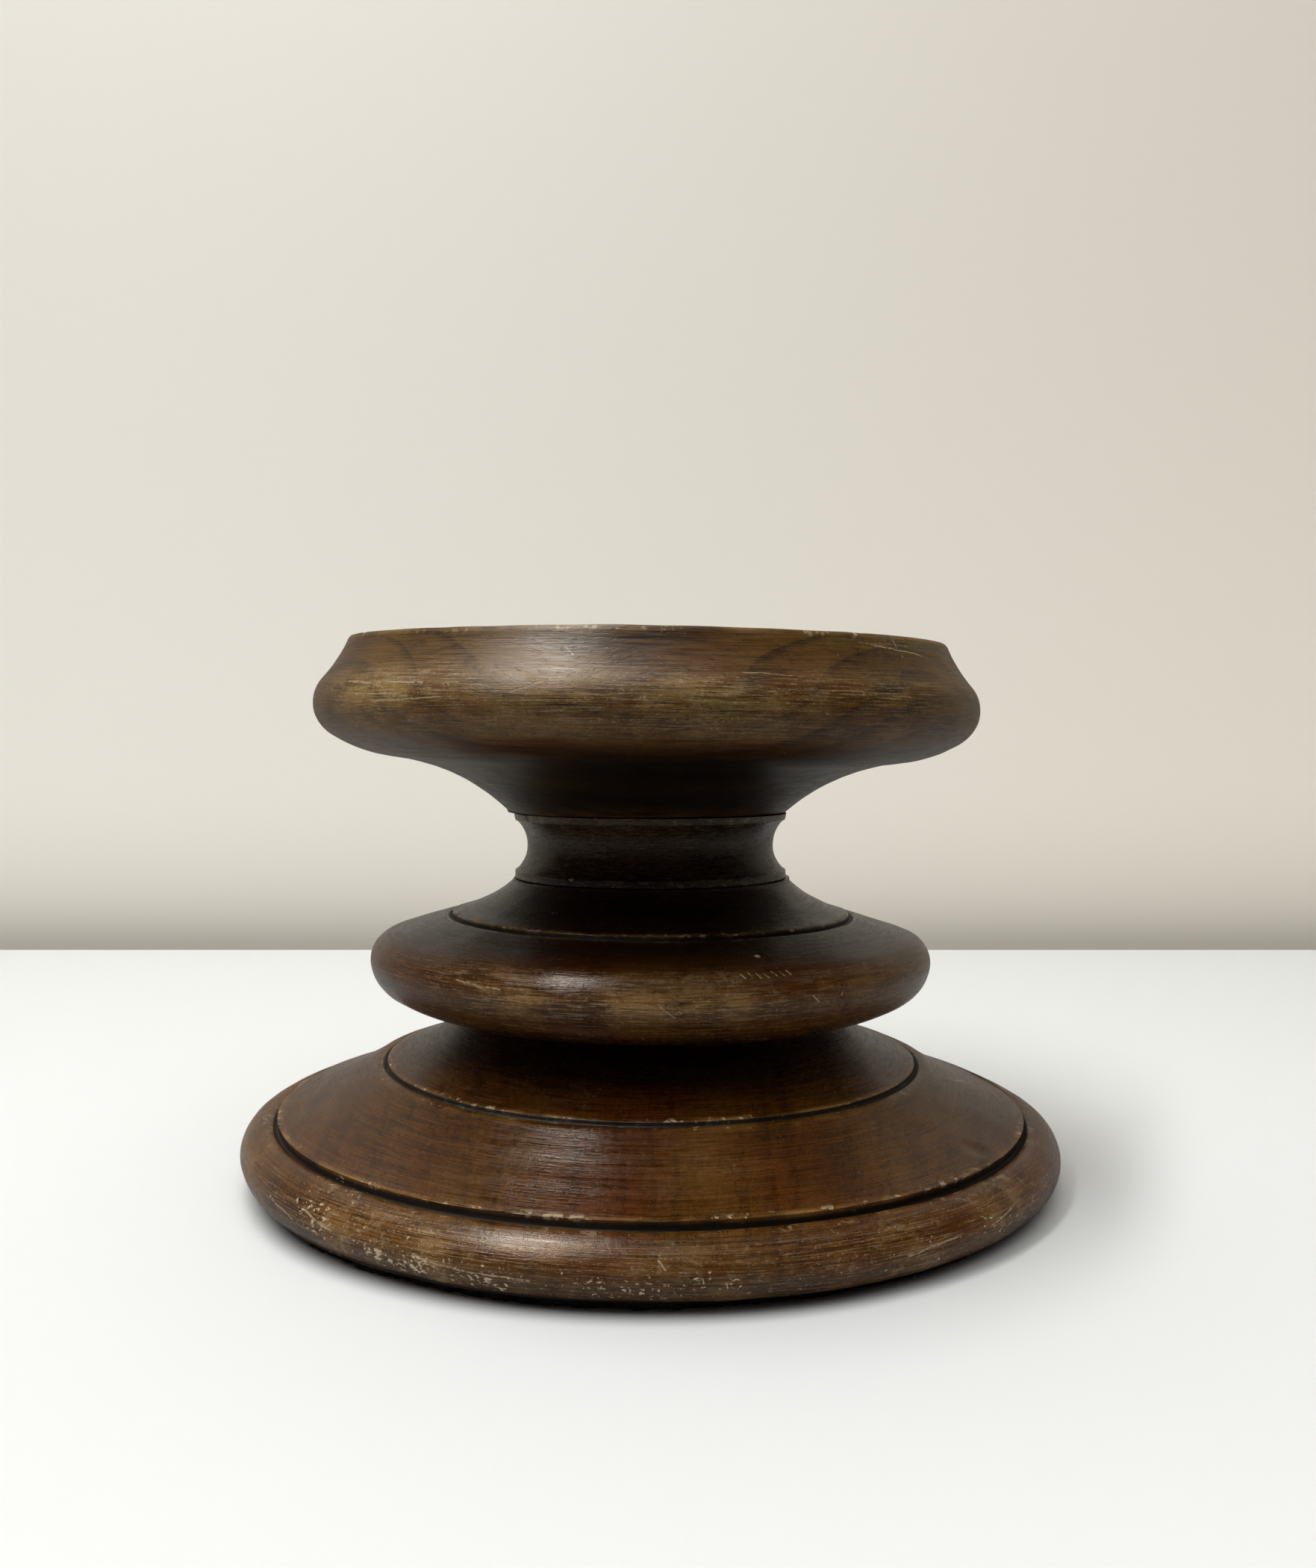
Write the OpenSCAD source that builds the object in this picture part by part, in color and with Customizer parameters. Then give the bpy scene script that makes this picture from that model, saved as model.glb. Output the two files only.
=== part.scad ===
// Display stand for a trumpet: four turned hardwood sections, foot, knop, neck and cup, drawn
// together by one steel tie rod. Felt covers the rod's two ends, under the foot and in the dish
// where the bell stands. Millimetres, +Z up, origin on the floor under the middle of the foot.

/* [Foot] */
// Diameter over the bead at the foot's edge
foot_d = 220; // [212:1:240]
// Height of the shoulder that the knop stands on
foot_h = 44.5; // [43:0.5:50]
// Height of the bead's widest line
bead_h = 9.6; // [9:0.2:10.4]
// Diameter of the sharp edge round the raised dome
dome_d = 144.8; // [138:0.4:150]

/* [Knop] */
// Diameter over the middle disc
knop_d = 153.2; // [146:0.4:162]
// Height from the foot's shoulder to the neck
knop_h = 33.8; // [33:0.2:38]

/* [Neck] */
// Diameter of the fillets at the neck's two ends
neck_d = 75.6; // [74:0.2:80]
// Height of the neck between its two joints
neck_h = 18.2; // [17:0.2:22]
// Diameter of the spigots that centre each section in the next
spigot_d = 40; // [34:1:44]
// Length of each spigot
spigot_l = 9.5; // [8:0.5:11]

/* [Cup] */
// Diameter over the cup's swelling
cup_d = 180.8; // [176:0.4:190]
// Height from the neck to the rim
cup_h = 46.6; // [46:0.2:50]
// Diameter of the rim's outer edge
rim_d = 162.4; // [158:0.4:166]
// Diameter of the dish
dish_d = 142; // [132:1:146]
// Depth of the dish, to its felt
dish_depth = 12.5; // [11:0.5:13.5]

/* [Hand work] */
// Angle by which the turned foot and knop lean from their bored holes
section_lean = 0.5; // [0:0.1:0.6]
// Angle by which the turned cup leans from its bored hole
cup_lean = 2; // [0:0.1:2.2]
// Direction of the cup's lean, round from +X
cup_lean_toward = -63; // [-180:1:180]
// Distance by which the cup sits off the neck, along X
cup_shift = -0.6; // [-0.8:0.1:0.8]

/* [Felt] */
// Thickness of the felt under the foot
foot_felt_t = 2.5; // [1.5:0.1:3]
// Thickness of the felt in the dish
dish_felt_t = 1.5; // [1:0.1:2]
// Distance from the edge of the foot's underside in to its felt
foot_felt_inset = 2.8; // [1:0.2:4]

/* [Tie rod] */
// Nominal thread of the tie rod
rod_d = 8; // [6:2:8]
// Depth of the hollow that hides each nut
nut_hollow = 12; // [11:0.5:12.5]

/* [Hidden] */
$fn = 96;

// Heights of the three joints and of the rim
knop_z = foot_h;
neck_z = knop_z + knop_h;
cup_z = neck_z + neck_h;
rim_z = cup_z + cup_h;

// Radii
foot_r = foot_d / 2;
dome_r = dome_d / 2;
knop_r = knop_d / 2;
neck_r = neck_d / 2;
cup_r = cup_d / 2;
rim_r = rim_d / 2;
dish_r = dish_d / 2;
spigot_r = spigot_d / 2;
sole_r = foot_r - 4.2;

// Joints: play round a spigot, space past its end, and its chamfer
spigot_play = 0.1;
spigot_space = 0.5;
spigot_chamfer = 1;
// Fine chamfer at each end of the neck, which leaves the joint's dark line
lip = 0.3;
// Length that a turned blank has past each saw cut
saw_waste = 2;

// Hardware, in proportion to the thread as the standard sizes are
hole_r = rod_d / 2 + 0.5;
thread_play = 0.05;
nut_flats = rod_d * 1.625;
nut_t = rod_d * 0.8125;
washer_r = rod_d * 1.5;
washer_t = 2;
hollow_r = washer_r + 1;
rod_past_nut = 1.5;

// Where the two washers bear, and the dish's floor
foot_bearing_z = foot_felt_t + nut_hollow;
dish_z = rim_z - dish_depth;
cup_bearing_z = dish_z - dish_felt_t - nut_hollow;
// Ledge round the recess that the dish's felt is let into, and the gap round the felt
ledge_w = 2;
felt_gap = 0.2;

// Angle brought within half a turn of zero
function wrapped(a) = a - 360 * round(a / 360);

// Arc of n steps that leaves p at heading a and ends at q, without p itself
function arc_to(p, a, q, n) =
    let (v = q - p, half_turn = wrapped(atan2(v.y, v.x) - a))
    abs(half_turn) < 0.01
        ? [q]
        : [for (i = [1 : n])
            let (h = half_turn * i / n)
            p + norm(v) * sin(h) / sin(half_turn) * [cos(a + h), sin(a + h)]];

// Smooth moulding through the knots: arcs, each tangent to the one before, that start at heading a
function moulding(knots, a, n = 10, i = 0) =
    i == 0
        ? concat([knots[0]], moulding(knots, a, n, 1))
        : i == len(knots)
            ? []
            : let (v = knots[i] - knots[i - 1])
              concat(arc_to(knots[i - 1], a, knots[i], n),
                     moulding(knots, 2 * atan2(v.y, v.x) - a, n, i + 1));

// Solid turned on the lathe from an outline of [radius, height] points
module turned(outline) {
    rotate_extrude() polygon(outline);
}

// Turns a shape by a small lean about the point at height z on the bored axis
module leaning(lean, toward, z) {
    translate([0, 0, z])
        rotate([0, 0, toward]) rotate([0, lean, 0]) rotate([0, 0, -toward])
            translate([0, 0, -z]) children();
}

// Turns and shifts what is turned with the cup, about the centre of its rim
module as_cup_leans() {
    translate([cup_shift, 0, 0]) leaning(cup_lean, cup_lean_toward, rim_z) children();
}

// The part of a shape that lies between two level saw cuts
module sawn(low, high) {
    intersection() {
        children();
        translate([0, 0, low]) cylinder(r = foot_r + 5, h = high - low);
    }
}

// Round bore, from one height up to another
module bore(r, low, high) {
    translate([0, 0, low]) cylinder(r = r, h = high - low);
}

// Socket for a spigot, running up from one height to another
module socket(low, high) {
    bore(spigot_r + spigot_play, low, high);
}

// Spigot that stands up from height z, with a chamfered end
module spigot(z) {
    turned([
        [0, z], [spigot_r, z],
        [spigot_r, z + spigot_l - spigot_chamfer],
        [spigot_r - spigot_chamfer, z + spigot_l],
        [0, z + spigot_l]]);
}

module foot_felt() {
    color([0.03, 0.035, 0.03])
        cylinder(r = sole_r - foot_felt_inset, h = foot_felt_t, $fn = 180);
}

// Foot's turned shape: bead, quirk, wide cove, small fillet, then the dome that sweeps up
module foot_blank() {
    bead = moulding([
        [sole_r, foot_felt_t],
        [foot_r - 2.4, foot_felt_t + 1],
        [foot_r, bead_h],
        [foot_r - 6.4, bead_h + 6.4]], 20);
    quirk = [
        [foot_r - 8, bead_h + 6.2],
        [foot_r - 9.4, bead_h + 5.4],
        [foot_r - 9.3, bead_h + 7.4]];
    cove = moulding([
        [foot_r - 9.1, bead_h + 7.8],
        [dome_r + 4, foot_h - 16.1]], 164);
    fillet = [
        [dome_r + 2.9, foot_h - 15.6],
        [dome_r + 0.7, foot_h - 15.6],
        [dome_r + 0.2, foot_h - 16],
        [dome_r + 0.1, foot_h - 15]];
    dome = moulding([
        [dome_r - 0.3, foot_h - 14.7],
        [spigot_r + 30, foot_h]], 165);
    turned(concat(
        [[0, foot_felt_t - saw_waste], [sole_r, foot_felt_t - saw_waste]],
        bead, quirk, cove, fillet, dome,
        [[spigot_r + 28.9, foot_h + saw_waste], [0, foot_h + saw_waste]]));
}

module foot() {
    color([0.27, 0.16, 0.09])
        difference() {
            union() {
                sawn(foot_felt_t, foot_h) leaning(section_lean, 0, bead_h) foot_blank();
                spigot(foot_h);
            }
            bore(hollow_r, -1, foot_bearing_z);
            bore(hole_r, 0, neck_z);
        }
}

// Knop's turned shape: a swelling disc, a quirk, and a cove that rises to the neck
module knop_blank() {
    disc = moulding([
        [knop_r - 15.2, knop_z - 0.2],
        [knop_r - 5, knop_z + 3.7],
        [knop_r, knop_z + 11.6],
        [knop_r - 5, knop_z + 19.4],
        [knop_r - 19.5, knop_z + 23.8]], 10);
    quirk = [
        [knop_r - 20.4, knop_z + 23.8],
        [knop_r - 21.8, knop_z + 23.2],
        [knop_r - 21.8, knop_z + 24.5]];
    cove = moulding([
        [knop_r - 22, knop_z + 24.8],
        [neck_r + 0.7, neck_z - 0.6]], 166);
    turned(concat(
        [[0, knop_z - saw_waste], [knop_r - 15.2, knop_z - saw_waste]],
        disc, quirk, cove,
        [[neck_r + 0.3, neck_z + saw_waste], [0, neck_z + saw_waste]]));
}

module knop() {
    color([0.25, 0.13, 0.075])
        difference() {
            sawn(knop_z, neck_z) leaning(section_lean, 0, knop_z + 11.6) knop_blank();
            socket(knop_z - 1, knop_z + spigot_l + spigot_space);
            socket(neck_z - spigot_l - spigot_space, neck_z + 1);
            bore(hole_r, knop_z, neck_z);
        }
}

// Neck: a hollow between two fillets, with a spigot at each end
module neck() {
    hollow = moulding([
        [neck_r - 0.8, neck_z + 2.6],
        [neck_r - 3.5, neck_z + neck_h / 2],
        [neck_r - 0.9, cup_z - 2.6]], 135);
    color([0.2, 0.12, 0.07])
        difference() {
            union() {
                turned(concat(
                    [[0, neck_z - spigot_l],
                     [spigot_r - spigot_chamfer, neck_z - spigot_l],
                     [spigot_r, neck_z - spigot_l + spigot_chamfer],
                     [spigot_r, neck_z],
                     [neck_r - lip, neck_z],
                     [neck_r, neck_z + lip],
                     [neck_r - 0.1, neck_z + 2.3]],
                    hollow,
                    [[neck_r - 0.2, cup_z - 2.3],
                     [neck_r + 0.2, cup_z - lip],
                     [neck_r - 0.1, cup_z],
                     [0, cup_z]]));
                spigot(cup_z);
            }
            bore(hole_r, knop_z, rim_z);
        }
}

// Cup's turned shape: flare, swelling, ogee and dished top
module cup_blank() {
    shape = moulding([
        [neck_r + 0.9, cup_z + 0.3],
        [cup_r - 20.4, cup_z + 14.9],
        [cup_r - 4.5, cup_z + 20.7],
        [cup_r, cup_z + 28.5],
        [cup_r - 2.5, cup_z + 35.6],
        [rim_r + 0.2, rim_z - 0.8]], 43);
    mouth = moulding([
        [dish_r + 2.2, rim_z],
        [dish_r, rim_z - 2.2]], 180);
    turned(concat(
        [[0, cup_z - saw_waste], [neck_r + 0.4, cup_z - saw_waste]],
        shape,
        [[rim_r - 0.5, rim_z]],
        mouth,
        [[dish_r, dish_z],
         [dish_r - ledge_w, dish_z],
         [dish_r - ledge_w, dish_z - dish_felt_t],
         [0, dish_z - dish_felt_t]]));
}

module cup() {
    color([0.29, 0.19, 0.1])
        difference() {
            sawn(cup_z, rim_z + 10) as_cup_leans() cup_blank();
            socket(cup_z - 1, cup_z + spigot_l + spigot_space);
            bore(hole_r, cup_z, rim_z);
            bore(hollow_r, cup_bearing_z, rim_z);
        }
}

module dish_felt() {
    color([0.03, 0.035, 0.03])
        as_cup_leans() translate([0, 0, dish_z - dish_felt_t])
            cylinder(r = dish_r - ledge_w - felt_gap, h = dish_felt_t, $fn = 180);
}

module tie_rod() {
    bottom = foot_bearing_z - washer_t - nut_t - rod_past_nut;
    top = cup_bearing_z + washer_t + nut_t + rod_past_nut;
    r = rod_d / 2;
    end_chamfer = 0.8;
    color([0.62, 0.62, 0.6])
        turned([
            [0, bottom], [r - end_chamfer, bottom], [r, bottom + end_chamfer],
            [r, top - end_chamfer], [r - end_chamfer, top], [0, top]]);
}

// Flat washer with its lower face at height z
module washer(z) {
    color([0.66, 0.66, 0.64])
        turned([
            [rod_d / 2 + 0.2, z], [washer_r, z],
            [washer_r, z + washer_t], [rod_d / 2 + 0.2, z + washer_t]]);
}

// Hexagon nut with its lower face at height z, its corners chamfered by the round blank
module nut(z) {
    corner_r = nut_flats / 2 / cos(30);
    crown = (corner_r - nut_flats / 2) * tan(30);
    color([0.62, 0.62, 0.6])
        intersection() {
            difference() {
                translate([0, 0, z]) cylinder(r = corner_r, h = nut_t, $fn = 6);
                translate([0, 0, z - 1]) cylinder(r = rod_d / 2 + thread_play, h = nut_t + 2);
            }
            turned([
                [0, z], [nut_flats / 2, z], [corner_r + 0.1, z + crown],
                [corner_r + 0.1, z + nut_t - crown], [nut_flats / 2, z + nut_t], [0, z + nut_t]]);
        }
}

module foot_washer() { washer(foot_bearing_z - washer_t); }

module foot_nut() { nut(foot_bearing_z - washer_t - nut_t); }

module cup_washer() { washer(cup_bearing_z); }

module cup_nut() { nut(cup_bearing_z + washer_t); }

foot_felt();
foot();
knop();
neck();
cup();
dish_felt();
tie_rod();
foot_washer();
foot_nut();
cup_washer();
cup_nut();
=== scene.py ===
"""Turned trumpet stand: foot, knop, neck and cup in dark stained walnut, a felt sole, a felted dish,
and the steel tie rod that draws the four sections together.

Metres, +Z up, Z = 0 on the desk under the middle of the foot. Bearings are in degrees round from
the front (-Y), and grow towards the right (+X).
"""

import math

import bpy
import numpy as np
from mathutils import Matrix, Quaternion, Vector
from mathutils.kdtree import KDTree


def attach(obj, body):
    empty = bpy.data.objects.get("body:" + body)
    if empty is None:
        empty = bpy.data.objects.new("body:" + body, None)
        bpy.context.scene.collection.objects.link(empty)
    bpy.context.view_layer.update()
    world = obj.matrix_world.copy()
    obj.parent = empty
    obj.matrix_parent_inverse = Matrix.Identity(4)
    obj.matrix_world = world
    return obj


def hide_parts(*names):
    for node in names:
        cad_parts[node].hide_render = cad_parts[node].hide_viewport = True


MM = 0.001
FULL_TURN = 2 * math.pi

# Radii and heights of the turned shapes, in millimetres, as in the stand's own drawing
FOOT_R = 110.0
DOME_R = 72.4
KNOP_R = 76.6
NECK_R = 37.8
CUP_R = 90.4
RIM_R = 81.2
DISH_R = 71.0
SPIGOT_R = 20.0
SOLE_R = 105.8
SOLE_Z = 2.5
KNOP_Z = 44.5
NECK_Z = 78.3
CUP_Z = 96.5
RIM_Z = 143.1
DISH_Z = 130.6
FELT_T = 1.5
SAW_WASTE = 2.0
UPRIGHT_R = 24.0  # bores and spigots inside this radius don't lean with the turned shape

# Lathe axes: the lean in degrees, the way it leans round from +X, and the point it leans about
SECTION_LEAN = (0.5, 0.0)
CUP_LEAN = (2.0, -63.0)
CUP_SHIFT = -0.6

# How far the worn surface stays under the drawn one at its proudest, in millimetres
WORN_BY = 0.13
LEAST_WORN = 0.01

# Colours in linear light
# Near-black for painted shade under overhangs, and for a dark knot on the cup
SHADE_AND_KNOT_BLACK = (0.004, 0.0012, 0.0003, 1)
PORE_BLACK = (0.003, 0.0015, 0.001, 1)
# Near-black for painted shade in hollows and at the joints between sections
HOLLOW_SHADE_BLACK = (0.0025, 0.0015, 0.001, 1)
BARE_WOOD = (0.42, 0.32, 0.19, 1)
DRIED_POLISH = (0.56, 0.44, 0.29, 1)
WARM_WHITE = (1, 0.995, 0.985)
WARM_CORE = (1, 0.99, 0.97)
DULL_ROOM = (0.02, 0.018, 0.015, 1)
WALL_GLOW = (0.135, 0.120, 0.094, 1)
FELT_DARK = (0.0035, 0.0033, 0.003)
FELT_LIGHT = (0.026, 0.024, 0.022)
LINT = (0.2, 0.19, 0.17, 1)


# ---------------------------------------------------------------- selection and modifiers


def deselect():
    if bpy.context.object and bpy.context.object.mode != "OBJECT":
        bpy.ops.object.mode_set(mode="OBJECT")
    bpy.ops.object.select_all(action="DESELECT")


def pick(piece):
    """Makes a piece the only one selected, and the active one."""
    deselect()
    piece.select_set(True)
    bpy.context.view_layer.objects.active = piece


def named(piece, name):
    piece.name = name
    piece.data.name = name
    return piece


def smooth(piece, angle=35):
    pick(piece)
    bpy.ops.object.shade_smooth_by_angle(angle=math.radians(angle))


def points_of(mesh):
    flat = np.empty(len(mesh.vertices) * 3)
    mesh.vertices.foreach_get("co", flat)
    return flat.reshape(-1, 3)


def move_points(mesh, points):
    mesh.vertices.foreach_set("co", np.ascontiguousarray(points, dtype=np.float32).ravel())
    mesh.update()


def give_attribute(mesh, name, values):
    attribute = mesh.attributes.new(name, "FLOAT", "POINT")
    attribute.data.foreach_set("value", np.ascontiguousarray(values, dtype=np.float32))


# ---------------------------------------------------------------- outlines on the lathe


def arc_between(start, heading, end, step):
    """Points after start on the arc that leaves it at heading and ends at end, and the last heading."""
    chord = end - start
    length = math.hypot(chord[0], chord[1])
    slope = math.atan2(chord[1], chord[0])
    half_turn = (slope - heading + math.pi) % FULL_TURN - math.pi
    count = max(2, math.ceil(length / step))
    if abs(half_turn) < 1e-4:
        return [start + chord * i / count for i in range(1, count + 1)], slope
    points = []
    for i in range(1, count + 1):
        turned = half_turn * i / count
        reach = length * math.sin(turned) / math.sin(half_turn)
        way = heading + turned
        points.append(start + reach * np.array([math.cos(way), math.sin(way)]))
    return points, slope + half_turn


def moulding(knots, heading, step=0.7):
    """A smooth moulding through the knots: arcs that each run on from the one before."""
    knots = [np.array(knot, float) for knot in knots]
    way = math.radians(heading)
    points = [knots[0]]
    for start, end in zip(knots, knots[1:]):
        arc, way = arc_between(start, way, end, step)
        points += arc
    return points


def eased(points, radius=0.35, sharpest=24, inner=UPRIGHT_R):
    """The closed outline with every visible corner worn to a small round."""
    points = [np.array(point, float) for point in points]
    rounded = []
    for before, here, after in zip(points[-1:] + points[:-1], points, points[1:] + points[:1]):
        back, on = before - here, after - here
        back_length, on_length = np.hypot(*back), np.hypot(*on)
        cosine = -np.dot(back, on) / (back_length * on_length)
        turn = math.degrees(math.acos(min(1, max(-1, cosine))))
        if turn < sharpest or here[0] < inner:
            rounded.append(here)
            continue
        cut = min(radius, 0.42 * back_length, 0.42 * on_length)
        first = here + back / back_length * cut
        last = here + on / on_length * cut
        for share in (0, 0.25, 0.5, 0.75, 1):
            rounded.append((1 - share) ** 2 * first + 2 * share * (1 - share) * here + share**2 * last)
    return rounded


def divided(points, moulded_step=0.85, plain_step=6.0, plain=()):
    """The closed outline with its long straight runs divided, more finely where it shows."""
    full = []
    for here, after in zip(points, points[1:] + points[:1]):
        length = np.hypot(*(after - here))
        middle = (here + after) / 2
        hidden = middle[0] < UPRIGHT_R or any(abs(middle[1] - level) < 0.02 for level in plain)
        count = max(1, math.ceil(length / (plain_step if hidden else moulded_step) - 1e-6))
        full += [here + (after - here) * i / count for i in range(count)]
    return np.array(full)


def outline_facts(outline, joints):
    """Outward normal, distance along, convexity and hollowness at each point of a closed outline."""
    ahead = np.roll(outline, -1, 0) - outline
    lengths = np.hypot(ahead[:, 0], ahead[:, 1])
    way = ahead / lengths[:, None]
    behind = np.roll(way, 1, 0)
    tangent = way + behind
    tangent /= np.hypot(tangent[:, 0], tangent[:, 1])[:, None] + 1e-9
    normal = np.stack([tangent[:, 1], -tangent[:, 0]], 1)
    turn = np.arctan2(behind[:, 0] * way[:, 1] - behind[:, 1] * way[:, 0], (behind * way).sum(1))
    along = np.concatenate([[0], np.cumsum(lengths)[:-1]])
    apart = np.abs(along[:, None] - along[None, :])
    apart = np.minimum(apart, lengths.sum() - apart)
    near = np.exp(-((apart / 1.1) ** 2))
    arris = np.clip(near @ np.clip(turn, 0, None) / 0.9 - 0.15, 0, 1)
    nook = np.clip(near @ np.clip(-turn, 0, None) / 0.9 - 0.1, 0, 1)
    # The joints count as hollows, so they get the same painted shade
    for level in joints:
        nook = np.maximum(nook, np.exp(-(((outline[:, 1] - level) / 0.55) ** 2)))
    return normal, along, arris, nook


# ---------------------------------------------------------------- shaping by hand


def ripples(points, size, seed, count=24):
    """A smooth random field about 0 at the points, with bumps about as large as size."""
    draw = np.random.default_rng(seed)
    ways = draw.normal(size=(count, 3))
    ways /= np.linalg.norm(ways, axis=1)[:, None]
    waves = ways * FULL_TURN / size * draw.uniform(0.6, 1.6, (count, 1))
    phases = draw.uniform(0, FULL_TURN, count)
    return np.sin(points @ waves.T + phases).sum(1) * math.sqrt(2 / count)


def spun(name, outline, steps):
    """A closed shape spun about +Z from a closed outline of [radius, height] points in millimetres."""
    deselect()
    bpy.ops.mesh.primitive_circle_add(vertices=len(outline), radius=0.05, fill_type="NOTHING")
    piece = named(bpy.context.active_object, name)
    flat = np.zeros((len(outline), 3))
    flat[:, 0] = outline[:, 0] * MM
    flat[:, 2] = outline[:, 1] * MM
    move_points(piece.data, flat)
    lathe = piece.modifiers.new("lathe", "SCREW")
    lathe.angle = FULL_TURN
    lathe.steps = steps
    lathe.render_steps = steps
    lathe.use_merge_vertices = True
    lathe.merge_threshold = 0.002 * MM
    bpy.ops.object.modifier_apply(modifier="lathe")
    bpy.ops.object.mode_set(mode="EDIT")
    bpy.ops.mesh.select_all(action="SELECT")
    bpy.ops.mesh.remove_doubles(threshold=0.002 * MM)
    bpy.ops.mesh.normals_make_consistent(inside=False)
    bpy.ops.object.mode_set(mode="OBJECT")
    return piece


def outline_index(mesh, outline):
    """For each vertex of a spun mesh, the outline point that it was spun from."""
    tree = KDTree(len(outline))
    for i, (radius, height) in enumerate(outline):
        tree.insert((radius * MM, height * MM, 0), i)
    tree.balance()
    points = points_of(mesh)
    radii = np.hypot(points[:, 0], points[:, 1])
    return np.array([tree.find((r, z, 0))[1] for r, z in zip(radii, points[:, 2])])


def leaned(points, lean, toward, height, shift=0.0):
    """Points in millimetres turned by a small lean about the given height, then shifted along X."""
    round_z = math.radians(toward)
    hinge = Vector((-math.sin(round_z), math.cos(round_z), 0))
    turn = np.array(Quaternion(hinge, math.radians(lean)).to_matrix())
    pivot = np.array([0, 0, height])
    return (points - pivot) @ turn.T + pivot + np.array([shift, 0, 0])


def at_bearing(bearing, radius, height):
    angle = math.radians(bearing)
    return np.array([radius * math.sin(angle), -radius * math.cos(angle), height])


def hollow(points, place, size, depth):
    """How far the surface goes in at a dent, and how bare it leaves the wood there."""
    share = np.clip(1 - (np.linalg.norm(points - place, axis=1) / size) ** 2, 0, 1)
    return depth * share**2, share


def patches(points, places):
    """Soft patches on a turned shape: bearing, height, half width, half height and strength of each."""
    bearings = np.degrees(np.arctan2(points[:, 0], -points[:, 1]))
    radii = np.hypot(points[:, 0], points[:, 1])
    total = np.zeros(len(points))
    for bearing, height, wide, tall, strength in places:
        across = (bearings - bearing + 180) % 360 - 180
        across = np.radians(across) * radii / wide
        total += strength * np.exp(-(across**2) - ((points[:, 2] - height) / tall) ** 2)
    return total


def section(
    name, outline, steps, lean, toward, pivot, low, high, seed, dents=(), shift=0.0, nicks=30,
    rubs=(), drifts=(), dark=(),
):
    """One turned section: spun from its outline, left a little uneven by hand, leaned and sawn level."""
    joints = [level for level in (low, high) if SOLE_Z < level < RIM_Z]
    caps = [low, high, low - SAW_WASTE, high + SAW_WASTE, DISH_Z - FELT_T]
    outline = divided(eased(outline), plain=caps)
    normal, along, arris, nook = outline_facts(outline, joints)
    piece = spun(name, outline, steps)
    index = outline_index(piece.data, outline)
    points = points_of(piece.data) / MM
    radii = np.hypot(points[:, 0], points[:, 1])
    out = np.zeros((len(points), 3))
    out[:, :2] = points[:, :2] / radii[:, None] * normal[index, 0][:, None]
    out[:, 2] = normal[index, 1]

    loose = np.clip((radii - UPRIGHT_R) / 8, 0, 1)
    lift = 0.11 * ripples(points, 70, seed) + 0.035 * ripples(points, 16, seed + 1)
    tool = np.stack([along[index], 0 * radii, 0 * radii], 1)
    lift += 0.02 * ripples(tool, 5.5, seed + 2)
    bare = np.zeros(len(points))

    draw = np.random.default_rng(seed + 3)
    edge = np.flatnonzero((arris[index] > 0.55) & (radii > UPRIGHT_R + 10))
    for spot in draw.choice(edge, nicks):
        sunk, share = hollow(points, points[spot], draw.uniform(0.7, 2.1), draw.uniform(0.08, 0.32))
        lift -= sunk
        bare = np.maximum(bare, share)
    for bearing, radius, height, size, depth in dents:
        sunk, share = hollow(points, at_bearing(bearing, radius, height), size, depth)
        lift -= sunk
        bare = np.maximum(bare, share * min(1, 2.2 / size))

    shaped = points + out * (np.minimum(lift - WORN_BY, -LEAST_WORN) * loose)[:, None]
    turned = leaned(shaped, lean, toward, pivot, shift)
    upright = radii <= UPRIGHT_R
    on_floor = upright & (np.abs(points[:, 2] - (DISH_Z - FELT_T)) < 0.1)
    turned[upright, :2] = points[upright, :2]
    turned[upright & ~on_floor, 2] = points[upright & ~on_floor, 2]
    turned[~upright, 2] = np.clip(turned[~upright, 2], low, high)
    move_points(piece.data, turned * MM)

    give_attribute(piece.data, "along", along[index])
    give_attribute(piece.data, "arris", arris[index])
    give_attribute(piece.data, "nook", nook[index])
    give_attribute(piece.data, "bare", bare)
    give_attribute(piece.data, "rubbed", patches(points, rubs))
    give_attribute(piece.data, "flecked", patches(points, drifts))
    # Patches of painted shade under the overhangs and at the bead's lower edge, and a dark knot on the
    # cup
    give_attribute(piece.data, "shade_and_knot", patches(points, dark))
    proud = np.clip((radii - (radii.max() - 7)) / 7, 0, 1)
    give_attribute(piece.data, "proud", proud * proud * (3 - 2 * proud))
    smooth(piece)
    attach(piece, "root")
    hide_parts(name.replace("turned_", ""))
    return piece


# ---------------------------------------------------------------- the four sections


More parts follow.
